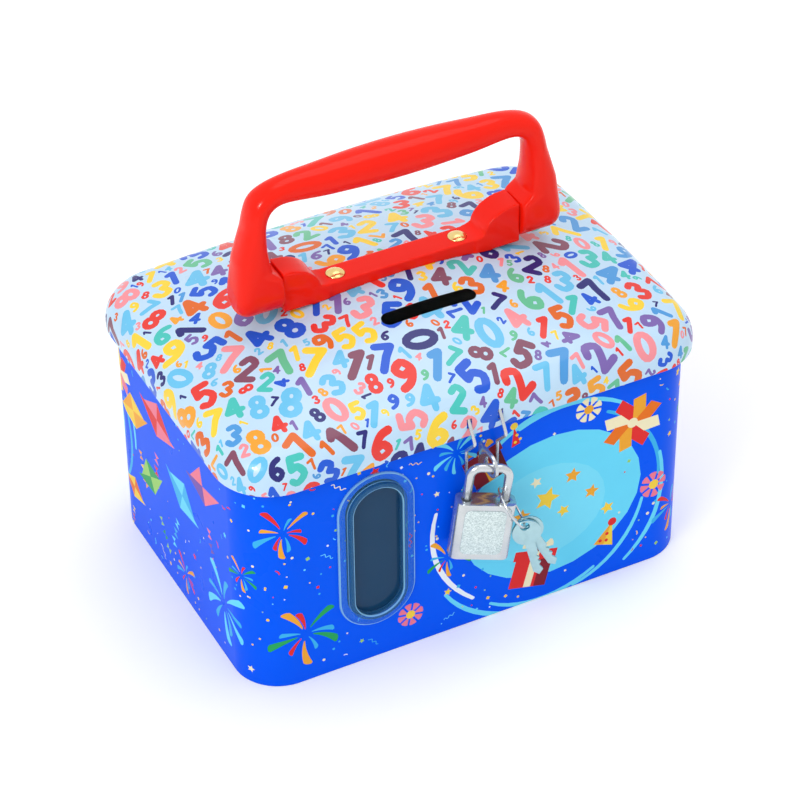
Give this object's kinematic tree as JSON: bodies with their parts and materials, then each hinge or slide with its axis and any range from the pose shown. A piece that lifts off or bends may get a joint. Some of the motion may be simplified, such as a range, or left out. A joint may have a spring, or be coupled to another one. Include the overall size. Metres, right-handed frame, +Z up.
{
  "type": "tin money box",
  "caption": "Tin money box with a printed body and crowned hinged lid, coin slot, folding handle, side window, and a small padlock with keys on the front staple.",
  "frame": {"origin": "middle of the body's underside, on the ground", "axes": "+X to the right along the front, +Y from the front to the hinges, +Z up"},
  "size_m": [0.1614, 0.1324, 0.1488],
  "materials": {
    "printed_body": "glossy printed varnish over tinplate",
    "printed_lid": "glossy printed varnish over tinplate",
    "plain_tin": "bare tinplate",
    "red_plastic": "smooth gloss",
    "gold_rivet": "polished",
    "clear_plastic": "clear gloss",
    "black_plastic": "matte",
    "zinc_steel": "zinc plated",
    "chrome": "polished",
    "sparkle": "silver glitter varnish",
    "plug_brass": "turned",
    "key_steel": "satin nickel"
  },
  "bodies": {
    "body": {"body_wall": "printed_body", "body_bottom": "plain_tin", "window_pane": "clear_plastic", "window_clip": "black_plastic", "staple": "chrome", "hinge_body_leaf_left": "zinc_steel", "hinge_body_leaf_right": "zinc_steel", "hinge_pin_left": "zinc_steel", "hinge_pin_right": "zinc_steel"},
    "lid": {"lid_shell": "printed_lid", "hinge_lid_leaf_left": "zinc_steel", "hinge_lid_leaf_right": "zinc_steel", "handle_base": "red_plastic", "handle_rivet_left": "gold_rivet", "handle_rivet_right": "gold_rivet", "rivet_washer_left": "zinc_steel", "rivet_washer_right": "zinc_steel", "hasp": "chrome", "hasp_clip": "zinc_steel"},
    "handle": {"handle_grip": "red_plastic"},
    "shackle": {"padlock_shackle": "chrome"},
    "case": {"padlock_case": "chrome", "padlock_panel": "sparkle", "padlock_stop_pin": "zinc_steel", "padlock_spring": "zinc_steel"},
    "plug": {"padlock_plug": "plug_brass"},
    "bolt": {"padlock_bolt": "zinc_steel"},
    "ring": {"key_ring": "chrome"},
    "first_key": {"key_first": "key_steel"},
    "second_key": {"key_second": "key_steel"}
  },
  "joints": [
    {"name": "lid_hinge", "type": "hinge", "parent": "body", "child": "lid", "pos_m": [0, 0.0592, 0.0781], "axis": [-1, 0, 0], "range_deg": [0, 110]},
    {"name": "handle_fold", "type": "hinge", "parent": "lid", "child": "handle", "pos_m": [0, 0, 0.1092], "axis": [1, 0, 0], "range_deg": [-88, 88]},
    {"name": "padlock_swing", "type": "hinge", "parent": "body", "child": "shackle", "pos_m": [0, -0.0613, 0.0665], "axis": [-0.9305, 0.3387, 0.1392], "range_deg": [0, 70]},
    {"name": "plug_turn", "type": "hinge", "parent": "case", "child": "plug", "pos_m": [-0.00486, -0.06187, 0.03538], "axis": [0.1543, 0.0181, 0.9879], "range_deg": [0, 90]},
    {"name": "case_drop", "type": "slide", "parent": "shackle", "child": "case", "axis": [-0.1543, -0.0181, -0.9879], "range_m": [0, 0.007]},
    {"name": "bolt_retract", "type": "slide", "parent": "case", "child": "bolt", "axis": [0.9305, -0.3387, -0.1392], "range_m": [0, 0.00212], "deforming": ["padlock_spring"]},
    {"name": "ring_tilt", "type": "hinge", "parent": "shackle", "child": "ring", "pos_m": [0.00224, -0.06278, 0.05707], "axis": [-0.3321, -0.9407, 0.0691], "range_deg": [0, 35]},
    {"name": "first_key_swing", "type": "hinge", "parent": "ring", "child": "first_key", "pos_m": [0.00896, -0.06603, 0.04522], "axis": [-0.3321, -0.9407, 0.0691], "range_deg": [0, 28]},
    {"name": "second_key_swing", "type": "hinge", "parent": "ring", "child": "second_key", "pos_m": [0.00896, -0.06603, 0.04522], "axis": [-0.3321, -0.9407, 0.0691], "range_deg": [-12, 25]}
  ],
  "couplings": [
    {"joint": "plug_turn", "follows": "case_drop", "rad_per_m": 224.4},
    {"joint": "bolt_retract", "follows": "case_drop", "ratio": 0.30305}
  ]
}
